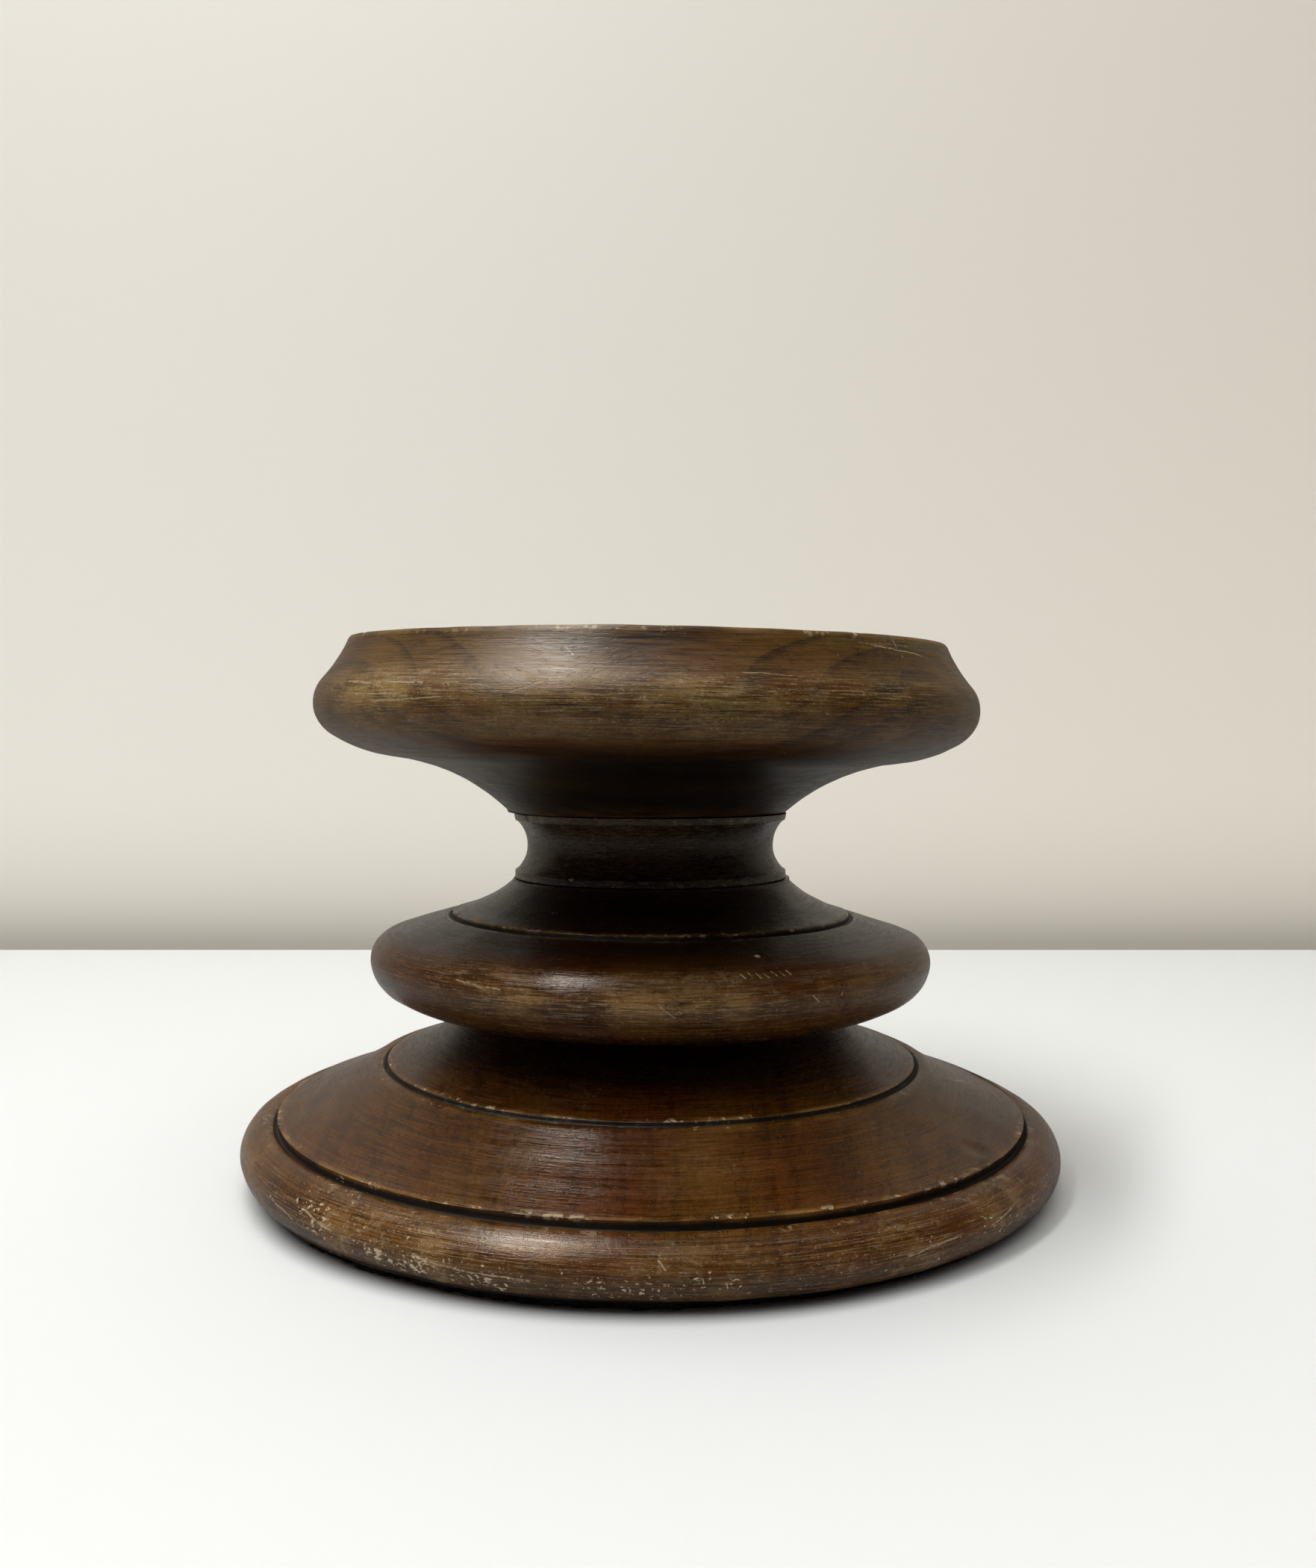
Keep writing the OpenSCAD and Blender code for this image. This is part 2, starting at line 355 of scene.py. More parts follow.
def make_foot():
    """Bead, quirk, wide cove and small fillet, then the dome that sweeps up to the knop."""
    bead = moulding(
        [
            (SOLE_R, SOLE_Z),
            (FOOT_R - 2.4, SOLE_Z + 1),
            (FOOT_R, 9.6),
            (FOOT_R - 6.4, 16.0),
        ],
        20,
        0.6,
    )
    quirk = [(FOOT_R - 8, 15.8), (FOOT_R - 9.4, 15.0), (FOOT_R - 9.3, 17.0)]
    cove = moulding([(FOOT_R - 9.1, 17.4), (DOME_R + 4, KNOP_Z - 16.1)], 164)
    fillet = [
        (DOME_R + 2.9, KNOP_Z - 15.6),
        (DOME_R + 0.7, KNOP_Z - 15.6),
        (DOME_R + 0.2, KNOP_Z - 16.0),
        (DOME_R + 0.1, KNOP_Z - 15.0),
    ]
    dome = moulding([(DOME_R - 0.3, KNOP_Z - 14.7), (SPIGOT_R + 30, KNOP_Z)], 165)
    inside = [
        (SPIGOT_R + 28.9, KNOP_Z + SAW_WASTE),
        (UPRIGHT_R + 0.5, KNOP_Z + SAW_WASTE),
        (SPIGOT_R, KNOP_Z),
        (SPIGOT_R, KNOP_Z + 8.5),
        (SPIGOT_R - 1, KNOP_Z + 9.5),
        (4.5, KNOP_Z + 9.5),
        (4.5, 14.5),
        (13, 14.5),
        (13, SOLE_Z),
        (UPRIGHT_R + 0.5, SOLE_Z - SAW_WASTE),
        (SOLE_R, SOLE_Z - SAW_WASTE),
    ]
    dents = [
        (54.9, 95.6, 19.1, 5.0, 0.55),
        (7.9, 99.9, 17.6, 2.2, 0.4),
        (32.6, 99.9, 17.6, 1.8, 0.3),
        (-44.0, 109.2, 12.5, 3.4, 0.25),
        (-38.0, 109.9, 8.5, 2.4, 0.2),
        (118.0, 108.8, 13.0, 3.0, 0.35),
        (-140.0, 97.0, 18.6, 4.0, 0.4),
    ]
    return section(
        "turned_foot", bead + quirk + cove + fillet + dome + inside, 480, *SECTION_LEAN, 9.6,
        SOLE_Z, KNOP_Z, 11, dents, nicks=56,
        rubs=[(-30, 12, 40, 5, 0.5), (8, 24, 16, 4, 0.18), (30, 12, 30, 5, 0.4), (170, 11, 60, 6, 0.5),
              (100, 24, 30, 6, 0.3)],
        drifts=[(-42, 11, 20, 5, 1.0), (-30, 7, 22, 4, 1.0), (-12, 6, 24, 4, 0.9), (8, 7, 20, 4, 0.85),
                (40, 8, 30, 5, 0.9), (60, 11, 16, 4, 0.5), (140, 9, 34, 5, 0.8), (-120, 8, 40, 5, 0.8)],
        # Painted shade on the dome under the knop, front and back, and along the bead's lower edge
        dark=[(2, 41, 62, 5.5, 1.3), (180, 42, 70, 4.5, 0.8), (0, 5.2, 900, 3.0, 0.6)],
    )


def make_knop():
    """A swelling disc, a quirk, and a cone that rises in a slow curve to the neck."""
    disc = moulding(
        [
            (KNOP_R - 15.2, KNOP_Z - 0.2),
            (KNOP_R - 5, KNOP_Z + 3.7),
            (KNOP_R, KNOP_Z + 11.6),
            (KNOP_R - 5, KNOP_Z + 19.4),
            (KNOP_R - 19.5, KNOP_Z + 23.8),
        ],
        10,
    )
    quirk = [
        (KNOP_R - 20.4, KNOP_Z + 23.8),
        (KNOP_R - 21.8, KNOP_Z + 23.2),
        (KNOP_R - 21.8, KNOP_Z + 24.5),
    ]
    cone = moulding([(KNOP_R - 22, KNOP_Z + 24.8), (NECK_R + 0.7, NECK_Z - 0.6)], 166)
    socket_r = SPIGOT_R + 0.1
    inside = [
        (NECK_R + 0.3, NECK_Z + SAW_WASTE),
        (UPRIGHT_R + 0.5, NECK_Z + SAW_WASTE),
        (socket_r, NECK_Z),
        (socket_r, NECK_Z - 10),
        (4.5, NECK_Z - 10),
        (4.5, KNOP_Z + 10),
        (socket_r, KNOP_Z + 10),
        (socket_r, KNOP_Z),
        (UPRIGHT_R + 0.5, KNOP_Z - SAW_WASTE),
        (KNOP_R - 15.2, KNOP_Z - SAW_WASTE),
    ]
    dents = [
        (22.5, 65.8, 65.6, 1.6, 0.3),
        (36.0, 76.6, 57.0, 1.4, 0.3),
        (-31.0, 76.4, 59.0, 4.5, 0.12),
        (150.0, 76.0, 60.0, 2.4, 0.3),
    ]
    return section(
        "turned_knop", disc + quirk + cone + inside, 448, *SECTION_LEAN, KNOP_Z + 11.6,
        KNOP_Z, NECK_Z, 23, dents, nicks=26,
        rubs=[(-34, 60, 12, 3, 0.9), (-22, 56.5, 12, 3, 0.8), (-1, 56, 18, 3, 1.0), (18, 56, 14, 3, 0.5),
              (150, 57, 40, 4, 0.8), (-130, 56, 30, 4, 0.7)],
        drifts=[(26, 63, 9, 1.2, 0.7)],
        # Painted shade in rings round the cone, under the overhanging cup
        dark=[(0, 66.5, 400, 3.0, 0.8), (0, 73, 400, 5, 0.9)],
    )


def make_neck():
    """A hollow between two fillets, with a spigot at each end."""
    hollow_part = moulding(
        [(NECK_R - 0.8, NECK_Z + 2.6), (NECK_R - 3.5, NECK_Z + 9.1), (NECK_R - 0.9, CUP_Z - 2.6)],
        135,
        0.5,
    )
    outline = [
        (4.5, NECK_Z - 9.5),
        (SPIGOT_R - 1, NECK_Z - 9.5),
        (SPIGOT_R, NECK_Z - 8.5),
        (SPIGOT_R, NECK_Z),
        (NECK_R - 0.3, NECK_Z),
        (NECK_R, NECK_Z + 0.3),
        (NECK_R - 0.1, NECK_Z + 2.3),
        *hollow_part,
        (NECK_R - 0.2, CUP_Z - 2.3),
        (NECK_R + 0.2, CUP_Z - 0.3),
        (NECK_R - 0.1, CUP_Z),
        (SPIGOT_R, CUP_Z),
        (SPIGOT_R, CUP_Z + 8.5),
        (SPIGOT_R - 1, CUP_Z + 9.5),
        (4.5, CUP_Z + 9.5),
    ]
    dents = [(-59.0, 38.0, 96.4, 2.2, 0.5), (-30.0, 38.0, 96.4, 1.6, 0.3), (64.0, 38.0, 96.3, 1.5, 0.3)]
    return section(
        "turned_neck", outline, 320, 0, 0, 0, NECK_Z, CUP_Z, 37, dents, nicks=18,
    )


def make_cup():
    """Flare, swelling and ogee up to the rim, and the dish inside it."""
    shape = moulding(
        [
            (NECK_R + 0.9, CUP_Z + 0.3),
            (CUP_R - 20.4, CUP_Z + 14.9),
            (CUP_R - 4.5, CUP_Z + 20.7),
            (CUP_R, CUP_Z + 28.5),
            (CUP_R - 2.5, CUP_Z + 35.6),
            (RIM_R + 0.2, RIM_Z - 0.8),
        ],
        43,
        0.85,
    )
    mouth = moulding([(DISH_R + 2.2, RIM_Z), (DISH_R, RIM_Z - 2.2)], 180, 0.6)
    socket_r = SPIGOT_R + 0.1
    inside = [
        (DISH_R, DISH_Z),
        (DISH_R - 2, DISH_Z),
        (DISH_R - 2, DISH_Z - FELT_T),
        (13, DISH_Z - FELT_T),
        (13, DISH_Z - FELT_T - 12),
        (4.5, DISH_Z - FELT_T - 12),
        (4.5, CUP_Z + 10),
        (socket_r, CUP_Z + 10),
        (socket_r, CUP_Z),
        (UPRIGHT_R + 0.5, CUP_Z - SAW_WASTE),
        (NECK_R + 0.4, CUP_Z - SAW_WASTE),
    ]
    dents = [
        (-61.0, 81.0, 142.6, 2.2, 0.6),
        (38.0, 81.4, 142.3, 3.0, 0.2),
        (46.0, 83.6, 138.0, 1.4, 0.2),
        (170.0, 81.0, 142.5, 3.0, 0.45),
        (-150.0, 90.0, 126.0, 3.0, 0.25),
    ]
    return section(
        "turned_cup", shape + [(RIM_R - 0.5, RIM_Z)] + mouth + inside, 360, *CUP_LEAN, RIM_Z,
        CUP_Z, RIM_Z + 10, 53, dents, shift=CUP_SHIFT, nicks=40,
        rubs=[(-46, 128, 16, 3.5, 1.0), (-30, 130, 22, 5, 0.7), (0, 128, 24, 6, 0.6),
              (28, 129, 30, 3, 0.8), (44, 141, 16, 1.6, 0.8), (130, 126, 50, 6, 0.8),
              (-140, 127, 50, 6, 0.8)],
        drifts=[(-46, 128, 12, 2.5, 0.5), (30, 130, 26, 2.0, 0.45)],
        # Painted shade under the flare, at the front and all round its foot, and a small dark spot at
        # the knot on the belt
        dark=[(12, 111, 75, 7, 1.2), (0, 101, 400, 5, 0.9), (37.9, 130.7, 2.4, 1.3, 0.9)],
    )


# ---------------------------------------------------------------- felt


def make_foot_felt():
    """The black felt sole: a cut disc whose edge has gone ragged."""
    radius = SOLE_R - 2.8
    outline = [(0, 0)]
    outline += [(r, 0) for r in np.linspace(12, radius - 3, 12)]
    outline += [(radius - 0.3, 0.0)]
    outline += [(radius, z) for z in (0.35, 0.8, 1.3, 1.8, 2.2)]
    outline += [(radius - 0.3, SOLE_Z)]
    outline += [(r, SOLE_Z) for r in np.linspace(radius - 3, 12, 12)]
    outline += [(0, SOLE_Z)]
    piece = spun("felt_sole", np.array(outline), 720)
    points = points_of(piece.data) / MM
    radii = np.hypot(points[:, 0], points[:, 1])
    edge = np.clip((radii - (radius - 3)) / 3, 0, 1)
    ragged = 0.35 * ripples(points, 9, 71) + 0.28 * ripples(points, 2.6, 72, 40)
    ragged += 0.2 * ripples(points, 1.3, 73, 40)
    reach = np.clip(ragged, -1.2, 1.0) * edge
    points[:, :2] *= (1 + reach / np.maximum(radii, 1))[:, None]
    move_points(piece.data, points * MM)
    smooth(piece, 60)
    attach(piece, "root")
    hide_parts("foot_felt")
    return piece


def make_dish_felt():
    """The felt let into the dish, with the soft ring that a bell's rim has pressed into it."""
    radius = DISH_R - 2.2
    top = DISH_Z
    rings = np.linspace(radius - 1.2, 1.5, 46)
    outline = [(0, top - FELT_T), (radius * 0.5, top - FELT_T), (radius - 0.1, top - FELT_T)]
    outline += [(radius, top - 1.1), (radius, top - 0.35), (radius - 0.35, top)]
    outline += [(r, top) for r in rings]
    outline += [(0, top)]
    piece = spun("felt_in_dish", np.array(outline), 288)
    points = points_of(piece.data) / MM
    radii = np.hypot(points[:, 0], points[:, 1])
    upper = points[:, 2] > top - 0.02
    pressed = 0.34 * np.exp(-(((radii - 61.5) / 1.5) ** 2))
    rough = 0.05 * ripples(points, 5, 81, 40) + 0.05 * ripples(points, 17, 82)
    points[:, 2] -= np.where(upper, np.clip(pressed + 0.12 + rough, 0.0, 0.7), 0)
    points = leaned(points, *CUP_LEAN, RIM_Z, CUP_SHIFT)
    move_points(piece.data, points * MM)
    smooth(piece, 60)
    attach(piece, "root")
    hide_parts("dish_felt")
    return piece


def make_felt_fibres():
    """Loose fibres that stand out of the sole's cut edge, each a thin tapering three-sided thread."""
    draw = np.random.default_rng(91)
    radius = SOLE_R - 3.0
    deselect()
    bpy.ops.mesh.primitive_cone_add(vertices=3, radius1=0.045 * MM, radius2=0.012 * MM, depth=1 * MM)
    pattern = named(bpy.context.active_object, "fibre_pattern")
    bpy.ops.object.mode_set(mode="EDIT")
    bpy.ops.mesh.select_all(action="SELECT")
    bpy.ops.mesh.bisect(plane_co=(0, 0, 0), plane_no=(0, 0, 1))
    bpy.ops.object.mode_set(mode="OBJECT")
    thread = points_of(pattern.data) / MM
    fibres = []
    for _ in range(420):
        copy = pattern.copy()
        copy.data = pattern.data.copy()
        bpy.context.collection.objects.link(copy)
        length = draw.uniform(0.8, 2.8)
        bearing = draw.uniform(-180, 180)
        angle = math.radians(bearing)
        outward = np.array([math.sin(angle), -math.cos(angle), 0])
        sideways = np.array([math.cos(angle), math.sin(angle), 0])
        way = outward + sideways * draw.normal(0, 0.9) + np.array([0, 0, draw.normal(0, 0.35)])
        way /= np.linalg.norm(way)
        turn = np.array(Vector((0, 0, 1)).rotation_difference(Vector(way)).to_matrix())
        shaft = thread * np.array([1, 1, length]) + np.array([0, 0, length * 0.5])
        curl = draw.normal(0, 0.12, 2) * length
        bent = np.sin(np.clip(shaft[:, 2] / length, 0, 1) * math.pi)
        shaft[:, 0] += bent * curl[0]
        shaft[:, 1] += bent * curl[1]
        place = outward * (radius - 0.25) + np.array([0, 0, draw.uniform(0.3, 2.1)])
        placed = shaft @ turn.T + place
        placed[:, 2] = np.clip(placed[:, 2], 0.03, SOLE_Z - 0.05)
        move_points(copy.data, placed * MM)
        fibres.append(copy)
    bpy.data.objects.remove(pattern)
    deselect()
    for fibre in fibres:
        fibre.select_set(True)
    bpy.context.view_layer.objects.active = fibres[0]
    bpy.ops.object.join()
    piece = named(bpy.context.active_object, "felt_fibres")
    smooth(piece, 80)
    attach(piece, "root")
    return piece


# ---------------------------------------------------------------- node building


class Graph:
    """Adds nodes to one tree. An input that is a socket is linked, and anything else is set."""

    def __init__(self, tree):
        self.tree = tree

    def node(self, kind, inputs=None, **settings):
        made = self.tree.nodes.new("ShaderNode" + kind)
        for name, value in settings.items():
            setattr(made, name, value)
        for key, value in (inputs or {}).items():
            self.put(made.inputs[key], value)
        return made

    def put(self, socket, value):
        if isinstance(value, bpy.types.NodeSocket):
            self.tree.links.new(value, socket)
        else:
            socket.default_value = value

    def math(self, operation, a, b=0.0, clamp=False):
        return self.node("Math", {0: a, 1: b}, operation=operation, use_clamp=clamp).outputs[0]

    def plus(self, a, b):
        return self.math("ADD", a, b)

    def times(self, *factors):
        product = factors[0]
        for factor in factors[1:]:
            product = self.math("MULTIPLY", product, factor)
        return product

    def step(self, value, low, high, to_low=0.0, to_high=1.0):
        """A smooth step from to_low to to_high as the value goes from low to high."""
        made = self.node("MapRange", interpolation_type="SMOOTHSTEP")
        for key, number in zip(range(5), (value, low, high, to_low, to_high)):
            self.put(made.inputs[key], number)
        return made.outputs[0]

    def noise(self, vector, scale, detail=2.0, roughness=0.5, distortion=0.0):
        inputs = {"Vector": vector, "Scale": scale, "Detail": detail}
        inputs.update({"Roughness": roughness, "Distortion": distortion})
        return self.node("TexNoise", inputs).outputs[0]

    def scaled(self, vector, x, y, z):
        inputs = {0: vector, 1: (x, y, z)}
        return self.node("VectorMath", inputs, operation="MULTIPLY").outputs[0]

    def blend(self, factor, a, b, way="MIX"):
        made = self.node("Mix", data_type="RGBA", blend_type=way)
        for key, value in ((0, factor), (6, a), (7, b)):
            self.put(made.inputs[key], value)
        return made.outputs[2]

    def attribute(self, name):
        return self.node("Attribute", attribute_name=name).outputs["Fac"]

    def group(self, tree, inputs):
        made = self.node("Group", node_tree=tree)
        for key, value in inputs.items():
            self.put(made.inputs[key], value)
        return made.outputs


def new_group(name, inputs, outputs):
    """An empty shader node group, its graph, and its input and output nodes."""
    tree = bpy.data.node_groups.new(name, "ShaderNodeTree")
    for label, kind, default in inputs:
        socket = tree.interface.new_socket(label, in_out="INPUT", socket_type="NodeSocket" + kind)
        if default is not None:
            socket.default_value = default
    for label in outputs:
        tree.interface.new_socket(label, in_out="OUTPUT", socket_type="NodeSocketFloat")
    graph = Graph(tree)
    source = tree.nodes.new("NodeGroupInput")
    result = tree.nodes.new("NodeGroupOutput")
    return tree, graph, source.outputs, result.inputs


def walnut_figure_group():
    """Growth rings, fibre, pores and stain blotches of a plank whose pith runs along X."""
    inputs = [("Plank", "Vector", None), ("Ring Width", "Float", 0.005), ("Warp", "Float", 0.006)]
    outputs = ["Ring", "Fibre", "Pore", "Blotch", "Hue"]
    tree, g, source, result = new_group("Walnut figure", inputs, outputs)
    plank = source["Plank"]
    wander = g.node("TexNoise", {"Vector": g.scaled(plank, 7, 16, 16), "Scale": 1.0, "Detail": 2.0})
    shift = g.node("VectorMath", {0: wander.outputs[1], 1: (-0.5, -0.5, -0.5)}, operation="ADD")
    pull = g.node("VectorMath", {0: shift.outputs[0], "Scale": source["Warp"]}, operation="SCALE")
    grown = g.node("VectorMath", {0: plank, 1: pull.outputs[0]}, operation="ADD").outputs[0]
    radial = g.scaled(grown, 0, 1, 1)
    depth = g.node("VectorMath", {0: radial}, operation="LENGTH").outputs[1]
    year = g.math("DIVIDE", depth, source["Ring Width"])
    uneven = g.node("TexNoise", {"W": g.times(year, 0.6), "Scale": 1.0}, noise_dimensions="1D")
    year = g.plus(year, g.times(uneven.outputs[0], 1.6))
    part = g.math("FRACT", year)
    late = g.step(part, 0.45, 0.93)
    early = g.step(part, 0.95, 1.0, 1.0, 0.0)
    strength = g.step(g.noise(grown, 22, 1), 0.3, 0.7, 0.35, 1.0)
    g.put(result["Ring"], g.times(late, early, strength))
    fine = g.noise(g.scaled(grown, 30, 850, 850), 1.0, 4, 0.6)
    broad = g.noise(g.scaled(grown, 10, 230, 230), 1.0, 3, 0.55)
    fine = g.step(fine, 0.28, 0.72)
    broad = g.step(broad, 0.3, 0.7)
    g.put(result["Fibre"], g.plus(g.times(fine, 0.7), g.times(broad, 0.3)))
    dash = g.noise(g.scaled(grown, 420, 3600, 3600), 1.0, 1, 0.4)
    patchy = g.step(g.noise(grown, 45, 2), 0.35, 0.65, -0.05, 0.0)
    g.put(result["Pore"], g.step(g.plus(dash, patchy), 0.61, 0.68))
    g.put(result["Blotch"], g.step(g.noise(plank, 24, 3, 0.55, 0.4), 0.33, 0.67))
    g.put(result["Hue"], g.step(g.noise(g.scaled(plank, 9, 26, 26), 1.0, 2), 0.36, 0.64))
    return tree


def lathe_marks_group():
    """Fine turned lines, and scuffs that run round the work."""
    inputs = [("Object", "Vector", None), ("Along", "Float", 0.0)]
    tree, g, source, result = new_group("Lathe marks", inputs, ["Lines", "Scuffs", "Drag"])
    level = g.scaled(source["Object"], 1, 1, 0)
    around = g.node("VectorMath", {0: level}, operation="NORMALIZE").outputs[0]
    split = g.node("SeparateXYZ", {0: around}).outputs
    turned = g.node("CombineXYZ", {0: split[0], 1: split[1], 2: source["Along"]}).outputs[0]
    lines = g.noise(g.scaled(turned, 4.5, 4.5, 2.3), 1.0, 3, 0.75)
    g.put(result["Lines"], g.step(lines, 0.34, 0.66))
    scratch = g.noise(g.scaled(turned, 11, 11, 3.4), 1.0, 3, 0.6)
    broken = g.noise(g.scaled(turned, 70, 70, 1.5), 1.0, 2, 0.6)
    g.put(result["Scuffs"], g.step(g.plus(scratch, g.times(broken, 0.25)), 0.66, 0.76))
    g.put(result["Drag"], g.step(g.noise(g.scaled(turned, 8, 8, 0.8), 1.0, 5, 0.68), 0.28, 0.72))
    return tree


def bare_wood_group():
    """Where the stain has worn through: on arrises, on proud belts and at knocks."""
    inputs = [
        ("Object", "Vector", None),
        ("Arris", "Float", 0.0),
        ("Rubbed", "Float", 0.0),
        ("Knock", "Float", 0.0),
        ("Drag", "Float", 0.5),
        ("Amount", "Float", 0.5),
    ]
    tree, g, source, result = new_group("Bare wood", inputs, ["Thin", "Through"])
    place = source["Object"]
    patch = g.step(g.noise(place, 42, 4, 0.6), 0.38, 0.66)
    fine = g.noise(place, 420, 3, 0.6)
    streaked = g.step(g.plus(source["Drag"], g.times(patch, 0.35)), 0.3, 0.95, 0.15, 1.0)
    rub = g.times(source["Rubbed"], g.step(patch, 0.0, 1.0, 0.25, 1.0), streaked)
    line = g.times(source["Arris"], g.step(g.noise(place, 75, 3, 0.6), 0.38, 0.66, 0.05, 0.8))
    thin = g.math("MAXIMUM", g.times(rub, 0.9), line)
    g.put(result["Thin"], g.times(thin, source["Amount"]))
    chip = g.step(g.plus(g.times(source["Knock"], 0.75), g.times(fine, 0.75)), 0.92, 1.02)
    spot = g.times(source["Arris"], g.step(g.plus(fine, g.times(patch, 0.14)), 0.66, 0.72))
    grains = g.step(g.noise(g.scaled(place, 1100, 1100, 1900), 1.0, 2, 0.6), 0.60, 0.66)
    spot = g.math("MAXIMUM", spot, g.times(source["Rubbed"], grains, streaked, 0.7))
    g.put(result["Through"], g.math("MAXIMUM", chip, g.times(spot, source["Amount"])))
    return tree


def flecks_group():
    """Small pale flecks and specks of dried polish, in drifts."""
    inputs = [("Object", "Vector", None), ("Density", "Float", 0.0)]
    tree, g, source, result = new_group("Flecks", inputs, ["Mask"])
    place = source["Object"]
    grain = g.noise(g.scaled(place, 800, 800, 1250), 1.0, 3, 0.66)
    drift = g.step(g.noise(place, 60, 4, 0.65), 0.36, 0.66, 0.25, 1.0)
    bar = g.plus(0.74, g.times(drift, source["Density"], -0.205))
    over = g.math("SUBTRACT", grain, bar)
    g.put(result["Mask"], g.step(over, 0.0, 0.03))
    return tree


def scratch_group():
    """One pale hairline from start to end on the unrolled turned surface."""
    inputs = [("Unrolled", "Vector", None), ("Start", "Vector", None), ("End", "Vector", None)]
    inputs += [("Width", "Float", 0.0002)]
    tree, g, source, result = new_group("Scratch", inputs, ["Mask"])
    wobble = g.node("TexNoise", {"Vector": source["Unrolled"], "Scale": 150.0, "Detail": 3.0})
    sway = g.node("VectorMath", {0: wobble.outputs[1], "Scale": 0.0016}, operation="SCALE").outputs[0]
    place = g.node("VectorMath", {0: source["Unrolled"], 1: sway}, operation="ADD").outputs[0]
    flat = g.scaled(place, 1, 1, 0)
    reach = g.node("VectorMath", {0: flat, 1: source["Start"]}, operation="SUBTRACT").outputs[0]
    whole = g.node("VectorMath", {0: source["End"], 1: source["Start"]}, operation="SUBTRACT").outputs[0]
    along = g.node("VectorMath", {0: reach, 1: whole}, operation="DOT_PRODUCT").outputs["Value"]
    square = g.node("VectorMath", {0: whole, 1: whole}, operation="DOT_PRODUCT").outputs["Value"]
    share = g.math("DIVIDE", along, square, clamp=True)
    nearest = g.node("VectorMath", {0: whole, "Scale": share}, operation="SCALE").outputs[0]
    away = g.node("VectorMath", {0: reach, 1: nearest}, operation="DISTANCE").outputs["Value"]
    line = g.step(g.math("DIVIDE", away, source["Width"]), 0.4, 1.0, 1.0, 0.0)
    broken = g.step(g.noise(source["Unrolled"], 700, 2, 0.6), 0.36, 0.52, 0.15, 1.0)
    g.put(result["Mask"], g.times(line, broken))
    return tree


# ---------------------------------------------------------------- materials


def new_material(name):
    material = bpy.data.materials.new(name)
    material.use_nodes = True
    graph = Graph(material.node_tree)
    shader = material.node_tree.nodes["Principled BSDF"]
    return material, graph, shader


